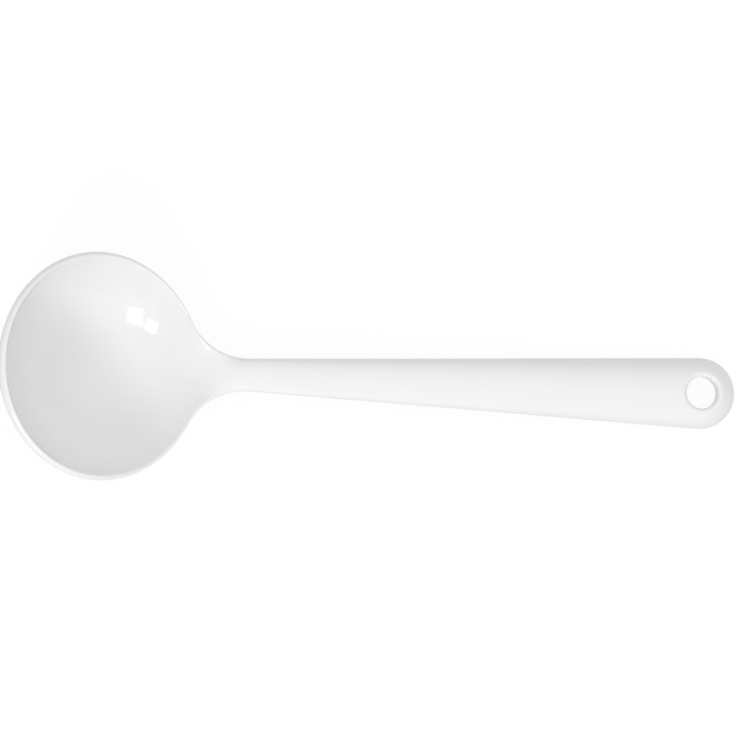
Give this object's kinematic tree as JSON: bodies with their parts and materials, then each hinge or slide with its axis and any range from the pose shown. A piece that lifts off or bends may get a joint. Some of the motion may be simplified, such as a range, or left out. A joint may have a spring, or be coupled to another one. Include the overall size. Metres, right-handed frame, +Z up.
{
  "type": "sauce ladle",
  "caption": "Small one-piece moulded ladle with a round tilted bowl, a drawn-in neck, a straight tapering handle and a round end with a hanging hole.",
  "frame": {"origin": "middle of the ladle's outline on the table that it lies on", "axes": "+X from the bowl to the handle's end, +Y across the handle, +Z up from the table"},
  "size_m": [0.1826, 0.0556, 0.0359],
  "materials": {
    "melamine": "glossy white melamine"
  },
  "bodies": {
    "root": {"bowl": "melamine", "neck": "melamine", "handle": "melamine", "hanging_eye": "melamine"}
  },
  "joints": []
}
